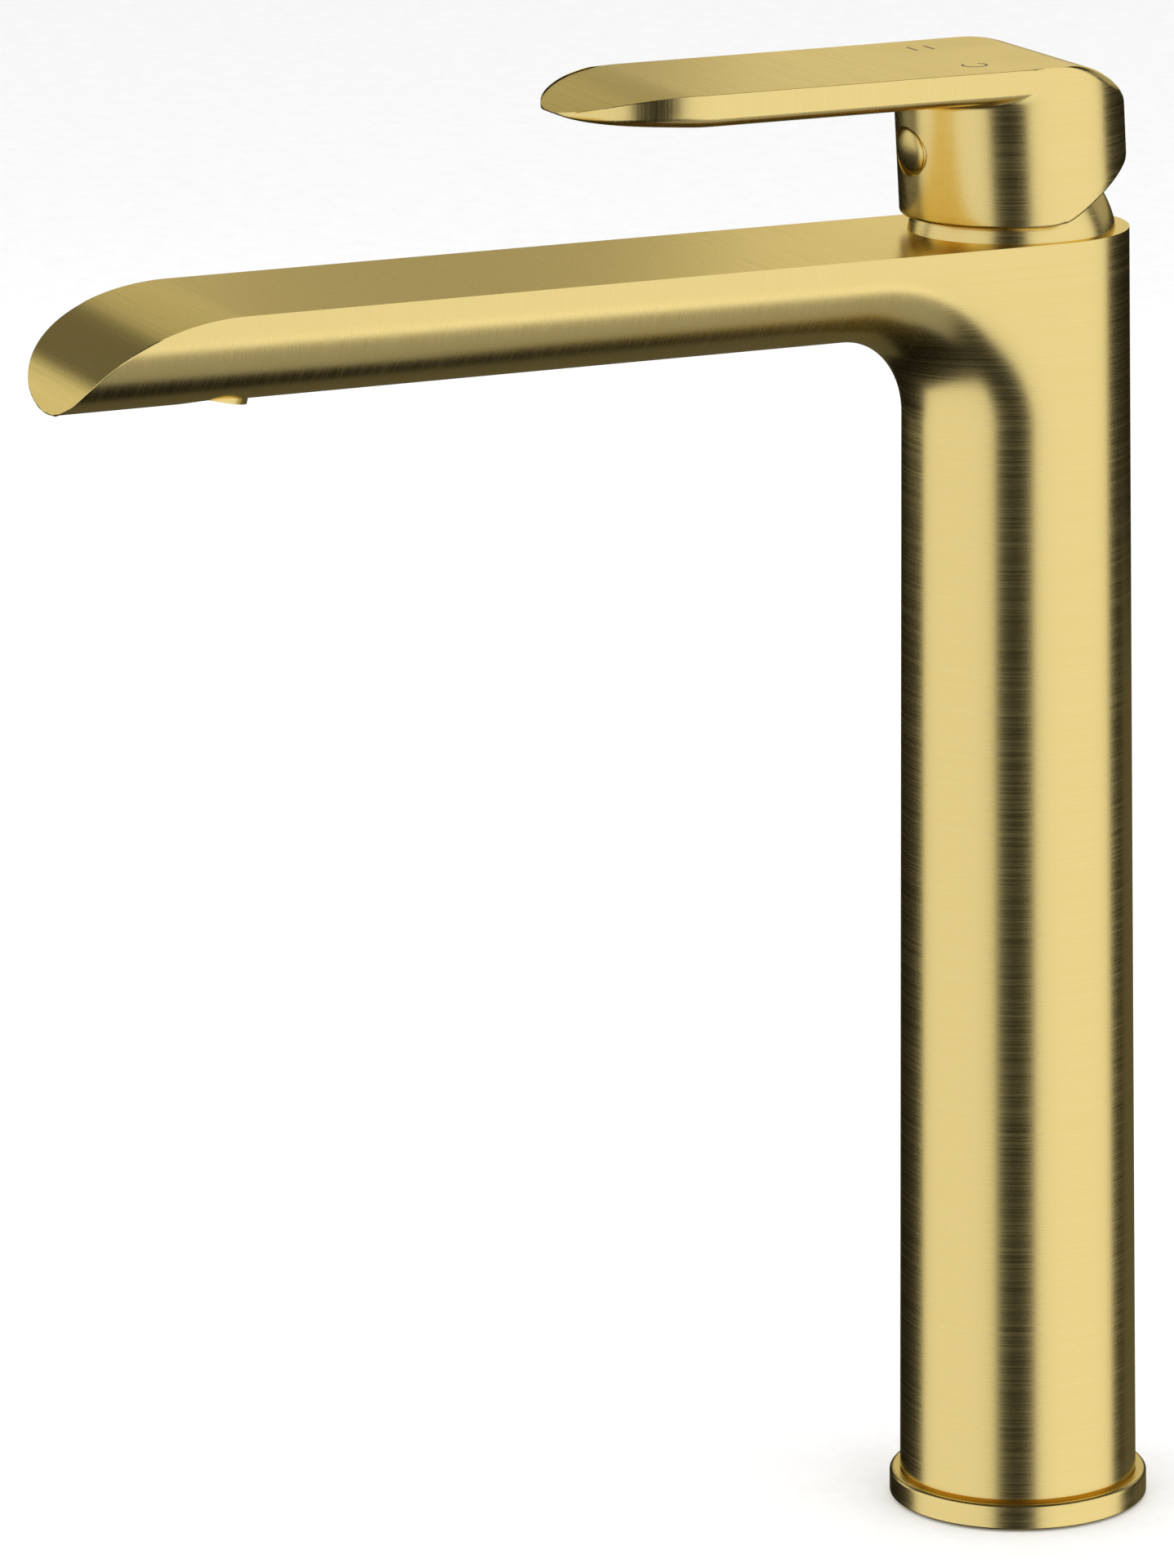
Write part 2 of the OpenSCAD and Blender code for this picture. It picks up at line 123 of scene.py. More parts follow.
def lathe(bm, profile, sides=160, centre=(0, 0)):
    """Turns a closed outline of (radius, height) points round an upright axis."""
    rings = []
    for r, z in profile:
        if r < ON_AXIS:
            rings.append([bm.verts.new((centre[0], centre[1], z))])
            continue
        angles = [2 * math.pi * i / sides for i in range(sides)]
        rings.append(
            [
                bm.verts.new((centre[0] + r * math.cos(a), centre[1] + r * math.sin(a), z))
                for a in angles
            ]
        )
    for here, there in zip(rings, rings[1:] + rings[:1]):
        if len(here) == 1 and len(there) == 1:
            continue
        for i in range(sides):
            k = (i + 1) % sides
            low = [here[i % len(here)], here[k % len(here)]]
            high = [there[k % len(there)], there[i % len(there)]]
            distinct = list(dict.fromkeys(low + high))
            if len(distinct) > 2:
                bm.faces.new(distinct)


def cylinder(name, r, low, high, centre=(0, 0), sides=128):
    bm = bmesh.new()
    lathe(bm, [(0, low), (r, low), (r, high), (0, high)], sides, centre)
    return piece_from(bm, name, [])


def skin_strip(bm, first, second, closed):
    """Quads between two rows of vertices."""
    count = len(first) if closed else len(first) - 1
    for i in range(count):
        k = (i + 1) % len(first)
        corners = list(dict.fromkeys([first[i], first[k], second[k], second[i]]))
        if len(corners) > 2:
            bm.faces.new(corners)


def ring_of(bm, points):
    return [bm.verts.new(p) for p in points]


def round_edges(bm, pairs, radius):
    """Rounds the edges between the given pairs of vertices and gives the new faces material 1."""
    edges = [bm.edges.get(pair) for pair in pairs]
    bmesh.ops.bevel(
        bm,
        geom=[edge for edge in edges if edge is not None],
        offset=radius,
        offset_type="OFFSET",
        segments=3,
        profile=0.5,
        affect="EDGES",
        clamp_overlap=False,
        material=1,
    )


# ---- materials ----


class Surface:
    """A node material around one Principled shader."""

    def __init__(self, name, colour, rough, metallic):
        self.material = bpy.data.materials.new(name)
        self.material.use_nodes = True
        self.nodes = self.material.node_tree.nodes
        self.links = self.material.node_tree.links
        self.shader = self.nodes["Principled BSDF"]
        self.shader.inputs["Base Color"].default_value = (*colour, 1)
        self.shader.inputs["Roughness"].default_value = rough
        self.shader.inputs["Metallic"].default_value = metallic
        self.place = self.add("ShaderNodeTexCoord").outputs["Object"]

    def add(self, kind, inputs=(), **settings):
        node = self.nodes.new(kind)
        for key, value in settings.items():
            setattr(node, key, value)
        for key, value in dict(inputs).items():
            self.feed(node, key, value)
        return node

    def feed(self, node, key, value):
        if isinstance(value, bpy.types.NodeSocket):
            self.links.new(value, node.inputs[key])
        else:
            node.inputs[key].default_value = value

    def noise(self, scale, detail=3.0, rough=0.55, stretch=(1, 1, 1)):
        """Noise over the object, with its grain stretched along the axes of small stretch."""
        at = self.add("ShaderNodeVectorMath", {0: self.place, 1: stretch}, operation="MULTIPLY")
        grain = {"Vector": at.outputs[0], "Scale": scale, "Detail": detail, "Roughness": rough}
        return self.add("ShaderNodeTexNoise", grain).outputs["Fac"]

    def blend(self, factor, a, b):
        node = self.add("ShaderNodeMix", {0: factor, 2: a, 3: b}, data_type="FLOAT")
        return node.outputs[0]

    def span(self, value, low, high, to_low, to_high):
        limits = {0: value, 1: low, 2: high, 3: to_low, 4: to_high}
        return self.add("ShaderNodeMapRange", limits).outputs[0]

    def tint(self, factor, a, b):
        node = self.add("ShaderNodeMix", data_type="RGBA")
        self.feed(node, 0, factor)
        self.feed(node, 6, (*a, 1))
        self.feed(node, 7, (*b, 1))
        return node.outputs[2]

    def bump(self, height, strength, distance):
        values = {"Height": height, "Strength": strength, "Distance": distance}
        self.feed(self.shader, "Normal", self.add("ShaderNodeBump", values).outputs[0])


GOLD_DEEP = (0.81, 0.635, 0.245)
GOLD_LIGHT = (0.86, 0.685, 0.288)
GOLD_GRAZING = (1.0, 0.885, 0.52)
GOLD_ROUGH = 0.26
EDGE_ROUGH = 0.22
EDGE_WORN = 0.9
ALONG_LINES = 22
ACROSS_LINES = 3600
BODY_TURN = (-24 * MM, -44 * MM)
HANDLE_TURN = (-12 * MM, -30 * MM)


def brushed_gold(name, turn, rough=GOLD_ROUGH, worn=0.0):
    """Gold with fine brush lines, level round upright parts and across the parts that reach forward.

    The lines change direction between the two values of y in turn.
    """
    s = Surface(name, GOLD_LIGHT, rough, 1.0)
    s.shader.inputs["Specular Tint"].default_value = (*GOLD_GRAZING, 1)
    level = s.noise(1.0, 2.0, 0.6, (ALONG_LINES, ALONG_LINES, ACROSS_LINES))
    across = s.noise(1.0, 2.0, 0.6, (ALONG_LINES, ACROSS_LINES, ALONG_LINES))
    depth = s.add("ShaderNodeSeparateXYZ", {0: s.place}).outputs[1]
    forward = s.span(depth, *turn, 0.0, 1.0)
    lines = s.blend(forward, level, across)
    fine = s.span(lines, 0.30, 0.70, 0.0, 1.0)
    cloud = s.noise(38.0, 3.0, 0.5)
    shade = s.blend(0.15, fine, cloud)
    deep = tuple(lerp(d, l, worn) for d, l in zip(GOLD_DEEP, GOLD_LIGHT))
    s.feed(s.shader, "Base Color", s.tint(shade, deep, GOLD_LIGHT))
    s.feed(s.shader, "Roughness", s.span(shade, 0.0, 1.0, rough - 0.04, rough + 0.04))
    s.bump(lines, 0.05 * (1 - 0.6 * worn), 0.02 * MM)
    return s.material


def turned(name, colour, rough):
    """Machined metal with fine turning lines round the upright axis."""
    s = Surface(name, colour, rough, 1.0)
    lines = s.noise(1.0, 2.0, 0.5, (60, 60, 6000))
    cloud = s.noise(60.0)
    shade = s.blend(0.5, lines, cloud)
    s.feed(s.shader, "Base Color", s.tint(shade, tuple(c * 0.86 for c in colour), colour))
    s.feed(s.shader, "Roughness", s.span(shade, 0.3, 0.7, rough - 0.06, rough + 0.06))
    s.bump(lines, 0.12, 0.05 * MM)
    return s.material


def moulded(name, colour, rough, grain=2600.0, relief=0.2):
    """Moulded plastic, rubber or ceramic with a fine even grain and slight clouding."""
    s = Surface(name, colour, rough, 0.0)
    fine = s.noise(grain, 2.0)
    cloud = s.noise(90.0)
    shade = s.blend(0.5, fine, cloud)
    s.feed(s.shader, "Base Color", s.tint(shade, tuple(c * 0.88 for c in colour), colour))
    s.feed(s.shader, "Roughness", s.span(shade, 0.3, 0.7, rough - 0.07, rough + 0.07))
    s.bump(fine, relief, 0.04 * MM)
    return s.material


materials = {
    "brushed_gold": brushed_gold("brushed_gold", BODY_TURN),
    "raw_brass": turned("raw_brass", (0.74, 0.56, 0.26), 0.34),
    "steel": turned("steel", (0.62, 0.63, 0.65), 0.28),
    "rubber": moulded("rubber", (0.018, 0.018, 0.020), 0.62),
    "white_plastic": moulded("white_plastic", (0.78, 0.78, 0.75), 0.42),
    "grey_plastic": moulded("grey_plastic", (0.16, 0.17, 0.18), 0.45),
    "red_plastic": moulded("red_plastic", (0.50, 0.04, 0.03), 0.42),
    "ceramic": moulded("ceramic", (0.86, 0.85, 0.80), 0.16, 5000.0, 0.05),
    "mark_fill": moulded("mark_fill", (0.16, 0.10, 0.03), 0.50),
}
body_edge = brushed_gold("brushed_gold_edge", BODY_TURN, EDGE_ROUGH, EDGE_WORN)
handle_gold = brushed_gold("brushed_gold_handle", HANDLE_TURN)
handle_edge = brushed_gold("brushed_gold_handle_edge", HANDLE_TURN, EDGE_ROUGH, EDGE_WORN)

for row in frame["record"]["subparts"]:
    node = frame["nodes"][row["node"]]
    node.data.materials.clear()
    node.data.materials.append(materials[row["material_slot"]])


# ---- column and spout ----

TOP = high_column.z
FOOT = low_column.z
FOOT_EDGE = 0.6 * MM
SPOUT_DEPTH = TOP - low_spout.z
REACH = -low_spout.y
BEND_Y = high_spout.y
BEND_R = 18 * MM
BEND_Z = low_spout.z - BEND_R
R_FOOT = high_column.x
R_TOP = high_spout.x
TIP_RUN = 34 * MM
TIP_DROP = 22 * MM
TIP_SHARE = 0.985
EDGE = 0.28 * MM
SIDE = 96
AERATOR_R = 9 * MM
AERATOR_GAP = 0.1 * MM
AERATOR_Y = -(REACH - 32.2 * MM)
AERATOR_Z = low_spout.z + 0.7 * MM
AERATOR_TILT = math.radians(14)
AERATOR_BORE = (-6 * MM, 10 * MM)
HOLLOW_R = 20 * MM
SEAT_STEP = 1.4 * MM
PAST_TOP = 5 * MM
PAST_END = 1 * MM


def column_r(z):
    return lerp(R_FOOT, R_TOP, (z - FOOT - FOOT_EDGE) / (TOP - FOOT - FOOT_EDGE))


def half_angles(count, start=0.0):
    return steps(count, start, math.pi - start)


def level_front(r, z):
    return [(r * math.cos(s), -r * math.sin(s), z) for s in half_angles(SIDE)]


def level_rear(r, z):
    return [(-r * math.cos(s), r * math.sin(s), z) for s in half_angles(SIDE)][1:-1]


def bend_points(a, corner):
    """One slice through the bend at angle a from level."""
    front_r = column_r(BEND_Z)
    depth = lerp(front_r, SPOUT_DEPTH, ease(a / QUARTER))
    if a <= corner:
        edge = (0.0, BEND_Z - BEND_Y * math.tan(a))
    else:
        edge = (BEND_Y + (TOP - BEND_Z) / math.tan(a), TOP)
    points = []
    for s in half_angles(SIDE):
        q = BEND_R + depth * (1 - math.sin(s))
        y, z = BEND_Y + q * math.cos(a), BEND_Z + q * math.sin(a)
        if s in (0.0, math.pi):
            y, z = edge
        points.append((math.cos(s) * column_r(z), y, z))
    return points


def spout_points(y, drop):
    start = math.asin(min(1.0, drop / SPOUT_DEPTH))
    points = []
    for s in half_angles(SIDE, start):
        z = TOP - SPOUT_DEPTH * math.sin(s)
        points.append((math.cos(s) * column_r(z), y, z))
    return points


def body_skin():
    bm = bmesh.new()
    corner = math.atan2(TOP - BEND_Z, -BEND_Y)
    foot_r = column_r(FOOT) - FOOT_EDGE
    closed = [
        level_front(foot_r, FOOT) + level_rear(foot_r, FOOT),
        level_front(R_FOOT, FOOT + FOOT_EDGE) + level_rear(R_FOOT, FOOT + FOOT_EDGE),
    ]
    for a in steps(14, 0.0, corner):
        front = bend_points(a, corner)
        closed.append(front + level_rear(column_r(front[0][2]), front[0][2]))
    rings = [ring_of(bm, points) for points in closed]
    for here, there in zip(rings, rings[1:]):
        skin_strip(bm, here, there, True)
    bm.faces.new(rings[0])

    rows = [rings[-1][: SIDE + 1]]
    for a in steps(14, corner, QUARTER)[1:]:
        rows.append(ring_of(bm, bend_points(a, corner)))
    flat_rows = len(rows)
    tip_y = -(REACH - TIP_RUN)
    last = math.acos(1 - TIP_SHARE * SPOUT_DEPTH / TIP_DROP)
    full = math.acos(1 - SPOUT_DEPTH / TIP_DROP)
    for a in steps(36, 0.0, last):
        y = tip_y - TIP_RUN * math.sin(a) / math.sin(full)
        rows.append(ring_of(bm, spout_points(y, TIP_DROP * (1 - math.cos(a)))))
    for here, there in zip(rows, rows[1:]):
        skin_strip(bm, here, there, False)
    bm.faces.new(rows[-1])

    rear = [rings[-1][0], *reversed(rings[-1][SIDE + 1 :]), rings[-1][SIDE]]
    left = [row[-1] for row in rows[1 : flat_rows + 1]]
    right = [row[0] for row in rows[1 : flat_rows + 1]]
    bm.faces.new(rear + left + right[::-1])
    for here, there in zip(rows[flat_rows:], rows[flat_rows + 1 :]):
        bm.faces.new([here[0], here[-1], there[-1], there[0]])

    ends = [row[0] for row in rows] + [row[-1] for row in reversed(rows)]
    outline = ends + rear[::-1][1:-1]
    round_edges(bm, zip(outline, outline[1:] + outline[:1]), EDGE)
    piece = piece_from(bm, "body_skin", [materials["brushed_gold"], body_edge])
    bore = cylinder("aerator_cutter", AERATOR_R + AERATOR_GAP, *AERATOR_BORE, sides=96)
    bore.matrix_world = Matrix.Translation((0, AERATOR_Y, AERATOR_Z)) @ Matrix.Rotation(
        -AERATOR_TILT, 4, "X"
    )
    nut_low, nut_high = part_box("cartridge_nut")
    valve_y = (nut_low.y + nut_high.y) / 2
    nut_r = (nut_high.x - nut_low.x) / 2
    cut(
        piece,
        [
            cylinder("valve_cutter", nut_r, nut_low.z, TOP + PAST_TOP, (0, valve_y)),
            cylinder("hollow_cutter", HOLLOW_R, FOOT - PAST_END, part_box("valve_seat")[1].z),
            cylinder("seat_cutter", nut_r - SEAT_STEP, FOOT, nut_low.z + PAST_END, (0, valve_y)),
            bore,
        ],
    )
    weighted(piece)
    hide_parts("column", "spout")
    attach(piece, "mixer")


body_skin()


# ---- flange and dome ----

FLANGE_LAP = 1.2 * MM
FLANGE_RIM = 0.9 * MM
FLANGE_FOOT = 0.3 * MM
FLANGE_LIP = 1.7 * MM
FLANGE_RECESS = 1.4 * MM
DOME_R = (high_dome.x - low_dome.x) / 2
DOME_HOLE = 13.2 * MM
DOME_WALL = 1.4 * MM
PIVOT_Z = TOP - 3.7 * MM


def flange_skin():
    r, low, high = high_flange.x, low_flange.z, high_flange.z
    inner = R_FOOT - FLANGE_LAP
    rim = FLANGE_RIM
    foot = FLANGE_FOOT
    roof = low + FLANGE_RECESS
    profile = [(inner, roof), (r - FLANGE_LIP, roof), (r - FLANGE_LIP, low)]
    profile += [
        (r - foot + foot * math.sin(a), low + foot - foot * math.cos(a))
        for a in steps(4, 0.0, QUARTER)
    ]
    profile += [
        (r - rim + rim * math.cos(a), high - rim + rim * math.sin(a))
        for a in steps(8, 0.0, QUARTER)
    ]
    profile += [(inner, high)]
    bm = bmesh.new()
    lathe(bm, profile, 224)
    piece = piece_from(bm, "flange_skin", [materials["brushed_gold"]], 35)
    weighted(piece)
    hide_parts("base_flange")
    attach(piece, "mixer")


def dome_skin():
    centre_y = (low_dome.y + high_dome.y) / 2
    r = DOME_R
    low = math.asin((TOP - PIVOT_Z) / r)
    high = math.acos(DOME_HOLE / r)
    outer = [(r * math.cos(a), PIVOT_Z + r * math.sin(a)) for a in steps(28, low, high)]
    inside = r - DOME_WALL
    high_in = math.acos(DOME_HOLE / inside)
    low_in = math.asin((TOP - PIVOT_Z) / inside)
    inner = [
        (inside * math.cos(a), PIVOT_Z + inside * math.sin(a)) for a in steps(20, high_in, low_in)
    ]
    bm = bmesh.new()
    lathe(bm, outer + inner, 192, (0, centre_y))
    piece = piece_from(bm, "dome_skin", [materials["brushed_gold"]], 35)
    weighted(piece)
    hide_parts("dome_cover")
    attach(piece, "mixer")


flange_skin()
dome_skin()


# ---- handle ----

VALVE_Y = -0.9 * MM
LEAN = math.radians(2.7)
LEVER_TOP = high_handle.z - 0.02 * MM
LEVER_REACH = -low_handle.y
LEVER_W = 23.15 * MM
LEVER_T = 7.5 * MM
LEVER_TIP = 27 * MM
LEVER_DIP = 4.4 * MM
DIP_RUN = 22.9 * MM
SKIRT_R = high_handle.x
SKIRT_LOW = low_handle.z
SKIRT_Y = -0.83 * MM
SKIRT_MID = 290 * MM
FILLET = 1.6 * MM
BACK_Y = 20.3 * MM
BACK_RUN = 20.0 * MM
BACK_DROP = 15.5 * MM
BACK_ROUND = 2.6 * MM
BACK_END = BACK_Y + 2 * MM
REAR_LIMIT = BACK_Y + 0.1 * MM
REAR_FORM = 14
SLIGHT = 0.05 * MM
CUT_SLOPE = 0.6
CUT_FRONT = 1.0 * MM
CUT_SOFT = 2.5 * MM
CURL_RUN = 4 * MM
CURL_RISE = 4.4 * MM
SKIRT_FOOT = [(0.0, 0.5), (0.012, 0.14), (0.03, 0.0)]
LEVER_SIDE = 96
LEVER_FORM = 6.0
LEVER_THINNING = 1.5
LEVER_START_Y = -31 * MM
LEVER_EDGE = 0.25 * MM
LEVER_SHARE = 0.999
LAST_TURN = math.radians(87.5)
FULL_FILLET_DEPTH = 4 * MM
BARE_ROWS = 9
CRISP_ANGLE = math.radians(38)
CUP_GAP = 0.45 * MM
PLUG_W = 6.9 * MM
PLUG_H = 4.85 * MM
PLUG_Y = 22.5 * MM
PLUG_Z = 22.05 * MM
PLUG_GAP = 0.3 * MM
PLUG_HOLE = (21.0 * MM, 34 * MM)
PLUG_RIM = 0.5 * MM
PLUG_BASE = PLUG_Y - 1.4 * MM
PLUG_SHOULDER = PLUG_Y - 0.9 * MM


def skirt_axis(z):
    return SKIRT_Y - (z - SKIRT_MID) * math.tan(LEAN)


def skirt_bottom(y):
    """Height of the underside: flat in front, rising to the rear and curling up at the back."""
    u = y + CUT_FRONT
    curl = clamp((y - (BACK_Y - CURL_RUN)) / CURL_RUN)
    rise = CUT_SLOPE * (u + math.sqrt(u * u + CUT_SOFT * CUT_SOFT)) / 2
    return SKIRT_LOW + rise + CURL_RISE * curl * curl


def skirt_top(y):
    """Height of the top: flat in front, rolling down to the rear."""
    t = clamp((y - (BACK_Y - BACK_RUN)) / BACK_RUN)
    return LEVER_TOP - BACK_DROP * (1 - math.sqrt(1 - t * t))


def rear_plan(axis_y):
    """Plan of the rear half, from -x to +x, with a softly flattened back."""
    points = []
    for s in half_angles(LEVER_SIDE)[1:-1]:
        x, y = -SKIRT_R * math.cos(s), SKIRT_R * math.sin(s) + axis_y
        if y > 0:
            y *= (1 + (y / REAR_LIMIT) ** REAR_FORM) ** (-1 / REAR_FORM)
        points.append((x, y))
    return points


def lever_depth(u, w):
    """Depth of the lever's underside at the fraction u of its half width w."""
    form = (1 - abs(u) ** LEVER_FORM) ** (1 / LEVER_FORM)
    return LEVER_T * (w / LEVER_W) ** LEVER_THINNING * form


def lever_row(y, w):
    """One slice across the lever, with its top sinking towards the tip."""
    dip = clamp((-y - LEVER_REACH + DIP_RUN) / DIP_RUN)
    top = LEVER_TOP - LEVER_DIP * dip * dip
    shares = [math.cos(s) for s in half_angles(LEVER_SIDE)]
    return [(w * u, y, top - lever_depth(u, w)) for u in shares]


def fillet_at(u):
    """Radius between the skirt and the lever's underside, small where the lever is thin."""
    return FILLET * clamp(lever_depth(u, LEVER_W) / FULL_FILLET_DEPTH)


def back_round(y):
    """Radius of the top edge of the rear half: slight at the sides, widest halfway back."""
    return SLIGHT + BACK_ROUND * math.sin(math.pi * clamp(y / BACK_END))


def wall_ring(level, inset):
    """One ring round the skirt wall, from its bottom at level 0 to the lever's underside at 1."""
    ring = []
    r = SKIRT_R - inset
    for s in half_angles(LEVER_SIDE):
        u = math.cos(s)
        high = LEVER_TOP - lever_depth(u, LEVER_W) - fillet_at(u)
        z = lerp(skirt_bottom(SKIRT_Y - SKIRT_R * math.sin(s)), high, level)
        ring.append((r * u, skirt_axis(z) - r * math.sin(s), z))
    axis_y = skirt_axis(LEVER_TOP)
    for x, y in rear_plan(axis_y):
        low, high = skirt_bottom(y), skirt_top(y) - back_round(y)
        z = lerp(low, high, level)
        shrink = 1 - inset / SKIRT_R
        ring.append((x * shrink, skirt_axis(z) + (y - axis_y) * shrink, z))
    return ring


def handle_skin():
    bm = bmesh.new()
    shares = [math.cos(s) for s in half_angles(LEVER_SIDE)]
    walls = SKIRT_FOOT + [(level, 0.0) for level in steps(10, 0.1, 1.0)]
    rings = [ring_of(bm, wall_ring(level, inset * MM)) for level, inset in walls]
    for here, there in zip(rings, rings[1:]):
        skin_strip(bm, here, there, True)
    bm.faces.new(rings[0])

    front = [v.co.copy() for v in rings[-1][: LEVER_SIDE + 1]]
    rows = [rings[-1][: LEVER_SIDE + 1]]
    for a in steps(6, 0.0, QUARTER)[1:]:
        points = []
        for u, base in zip(shares, front):
            r = fillet_at(u)
            points.append((base.x, base.y - r * (1 - math.cos(a)), base.z + r * math.sin(a)))
        rows.append([rows[0][0], *ring_of(bm, points[1:-1]), rows[0][-1]])
    below = [v.co.copy() for v in rows[-1]]
    start = len(rows) - 1
    target = lever_row(LEVER_START_Y, LEVER_W)
    for h in steps(10)[1:]:
        points = [
            (lerp(p.x, q[0], ease(h)), lerp(p.y, q[1], h), q[2]) for p, q in zip(below, target)
        ]
        rows.append(ring_of(bm, points))
    straight = -(LEVER_REACH - LEVER_TIP)
    for y in steps(6, LEVER_START_Y, straight)[1:-1]:
        rows.append(ring_of(bm, lever_row(y, LEVER_W)))
    for turn in steps(40, 0.0, LAST_TURN):
        y = straight - LEVER_TIP * math.sin(turn) / math.sin(LAST_TURN) * LEVER_SHARE
        rows.append(ring_of(bm, lever_row(y, LEVER_W * math.cos(turn))))
    for here, there in zip(rows, rows[1:]):
        skin_strip(bm, here, there, False)
    bm.faces.new(rows[-1])
    for here, there in zip(rows[start:], rows[start + 1 :]):
        bm.faces.new([here[0], here[-1], there[-1], there[0]])

    back = rings[-1][LEVER_SIDE:] + [rings[-1][0]]
    rest = [v.co.copy() for v in back]
    axis_y = skirt_axis(LEVER_TOP)
    for a in steps(5, 0.0, QUARTER)[1:]:
        points = []
        for base in rest[1:-1]:
            r = back_round(base.y)
            out = Vector((base.x, base.y - axis_y, 0)).normalized()
            points.append(base - out * r * (1 - math.cos(a)) + Vector((0, 0, r * math.sin(a))))
        ring = [back[0], *ring_of(bm, points), back[-1]]
        skin_strip(bm, back, ring, False)
        back = ring
    for i in range(len(back) // 2):
        corners = list(dict.fromkeys([back[i], back[i + 1], back[-2 - i], back[-1 - i]]))
        if len(corners) > 2:
            bm.faces.new(corners)

    bm.normal_update()
    crossing = rows[start + 1 : -BARE_ROWS]
    ends = [row[-1] for row in reversed(crossing)] + [row[0] for row in crossing]
    crisp = [
        (p, q)
        for p, q in zip(ends, ends[1:])
        if bm.edges.get((p, q)) and bm.edges.get((p, q)).calc_face_angle(0) > CRISP_ANGLE
    ]
    round_edges(bm, crisp, LEVER_EDGE)
    for v in bm.verts:
        v.co.z = min(v.co.z, LEVER_TOP)
    piece = piece_from(bm, "handle_skin", [handle_gold, handle_edge])

    ball = bmesh.new()
    cup = DOME_R + CUP_GAP
    arc = [
        (cup * math.cos(a), PIVOT_Z + cup * math.sin(a))
        for a in steps(64, -QUARTER, QUARTER)
    ]
    lathe(ball, arc, 160, (0, VALVE_Y))
    cutters = [piece_from(ball, "cup_cutter", [])]
    oval = cylinder("plug_cutter", PLUG_H + PLUG_GAP, *PLUG_HOLE, sides=96)
    stretch = (PLUG_W + PLUG_GAP) / (PLUG_H + PLUG_GAP)
    oval.matrix_world = plug_frame() @ Matrix.Diagonal((stretch, 1, 1, 1))
    cutters.append(oval)
    cut(piece, cutters)
    weighted(piece)
    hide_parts("handle")
    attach(piece, "lever")


def plug_frame():
    """Frame of the screw line: +Z forward out of the skirt, origin on the leaning axis."""
    return (
        Matrix.Translation((0, VALVE_Y, PIVOT_Z))
        @ Matrix.Rotation(LEAN, 4, "X")
        @ Matrix.Translation((0, 0, PLUG_Z))
        @ Matrix.Rotation(math.radians(90), 4, "X")
    )


def plug_skin():
    rim = PLUG_RIM
    profile = [(0, PLUG_BASE), (PLUG_H, PLUG_BASE)]
    profile += [
        (PLUG_H - rim + rim * math.cos(a), PLUG_SHOULDER - rim + rim * math.sin(a))
        for a in steps(6, 0.0, math.radians(70))
    ]
    r_top, z_top = profile[-1]
    profile += [
        (r_top * math.cos(a), z_top + (PLUG_Y - z_top) * math.sin(a))
        for a in steps(14, 0.0, QUARTER)[1:]
    ]
    bm = bmesh.new()
    lathe(bm, profile, 128)
    bm.transform(plug_frame() @ Matrix.Diagonal((PLUG_W / PLUG_H, 1, 1, 1)))
    piece = piece_from(bm, "plug_skin", [handle_gold], 40)
    weighted(piece)
    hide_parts("screw_cap")
    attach(piece, "lever")


handle_skin()
plug_skin()


# ---- camera, floor and light ----

scene = bpy.context.scene
FOCAL_PIXELS = 9786.6
PHOTO_HEIGHT = 1920
CAMERA_AZIMUTH = math.radians(64.333)
CAMERA_DISTANCE = 1615.9 * MM
CAMERA_HEIGHT = 552.9 * MM
CAMERA_PAN = math.radians(3.166)
CAMERA_PITCH = math.radians(13.82)
CAMERA_ROLL = math.radians(-0.866)
SENSOR = 36.0
FLOOR_R = 4.0
FLOOR_DEPTH = 0.01
WORLD_STRENGTH = 1.05
LIGHT_AIM = Vector((0, -0.05, 0.2))


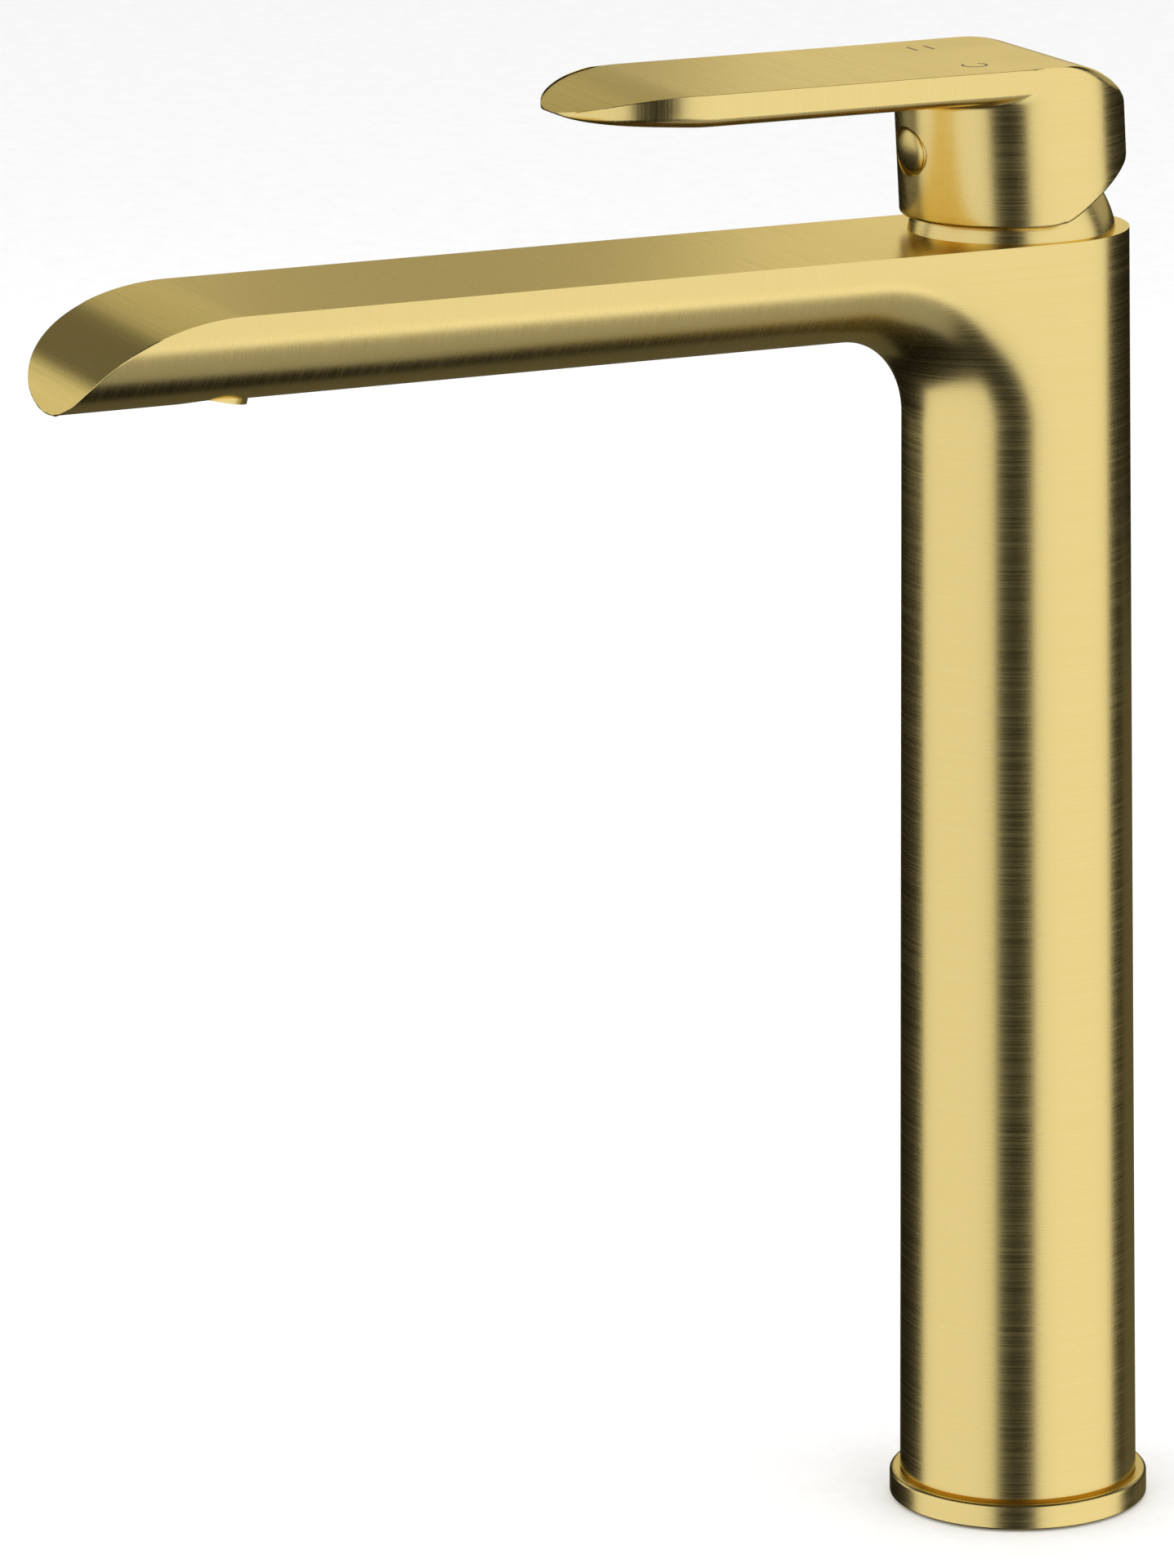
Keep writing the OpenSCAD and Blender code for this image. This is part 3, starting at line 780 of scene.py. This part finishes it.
def make_camera():
    facing = CAMERA_AZIMUTH + CAMERA_PAN
    forward = Vector((-math.sin(facing), math.cos(facing), 0))
    right = Vector((math.cos(facing), math.sin(facing), 0))
    up = Vector((0, 0, 1))
    look = math.cos(CAMERA_PITCH) * forward - math.sin(CAMERA_PITCH) * up
    above = math.sin(CAMERA_PITCH) * forward + math.cos(CAMERA_PITCH) * up
    side = math.cos(CAMERA_ROLL) * right + math.sin(CAMERA_ROLL) * above
    head = -math.sin(CAMERA_ROLL) * right + math.cos(CAMERA_ROLL) * above
    data = bpy.data.cameras.new("camera")
    data.sensor_width = SENSOR
    data.lens = FOCAL_PIXELS / PHOTO_HEIGHT * data.sensor_width
    data.clip_start = 0.05
    camera = bpy.data.objects.new("camera", data)
    turn = Matrix((side, head, -look)).transposed().to_4x4()
    at = Vector(
        (
            math.sin(CAMERA_AZIMUTH) * CAMERA_DISTANCE,
            -math.cos(CAMERA_AZIMUTH) * CAMERA_DISTANCE,
            CAMERA_HEIGHT,
        )
    )
    camera.matrix_world = Matrix.Translation(at) @ turn
    scene.collection.objects.link(camera)
    scene.camera = camera


def make_floor():
    bm = bmesh.new()
    lathe(bm, [(0, 0), (FLOOR_R, 0), (FLOOR_R, -FLOOR_DEPTH), (0, -FLOOR_DEPTH)], 96)
    pale = moulded("pale_floor", (0.97, 0.97, 0.97), 0.9, 400.0, 0.05)
    floor = piece_from(bm, "floor", [pale], 35)
    floor.visible_glossy = False
    floor.visible_shadow = False


def panel(name, turn, rise, distance, width, height, radiance):
    """A soft rectangular light, placed by its angle in degrees round the object from the camera."""
    azimuth = CAMERA_AZIMUTH + math.radians(turn)
    lift = math.radians(rise)
    out = Vector(
        (math.sin(azimuth) * math.cos(lift), -math.cos(azimuth) * math.cos(lift), math.sin(lift))
    )
    data = bpy.data.lights.new(name, "AREA")
    data.shape = "RECTANGLE"
    data.size, data.size_y = width, height
    data.energy = radiance * math.pi * width * height
    light = bpy.data.objects.new(name, data)
    facing = out.to_track_quat("Z", "Y").to_matrix().to_4x4()
    light.matrix_world = Matrix.Translation(LIGHT_AIM + out * distance) @ facing
    light.visible_camera = False
    scene.collection.objects.link(light)


def make_world():
    world = bpy.data.worlds.new("studio")
    world.use_nodes = True
    background = world.node_tree.nodes["Background"]
    background.inputs["Color"].default_value = (1, 1, 1, 1)
    background.inputs["Strength"].default_value = WORLD_STRENGTH
    world.cycles_visibility.glossy = False
    scene.world = world


make_camera()
make_floor()
make_world()
scene.view_settings.view_transform = "Standard"
panel("right_soft", 62.2, 0, 1.2, 2.27, 2.6, 1.0)
panel("left_soft", -63.2, 0, 1.2, 2.32, 2.6, 0.93)
panel("rear_wide", 179.7, 19, 1.2, 1.07, 0.5, 0.46)
panel("rear_right", 150.7, 16, 1.2, 1.47, 0.5, 0.42)
panel("rear_low", 160, -35, 1.2, 1.4, 1.0, 0.10)
panel("left_rear", -124, 6, 1.2, 0.45, 0.5, 0.85)
panel("tip_fill", -150, 22, 1.2, 0.8, 0.5, 0.17)
panel("right_bounce", 68, -60, 0.9, 0.8, 0.7, 0.36)
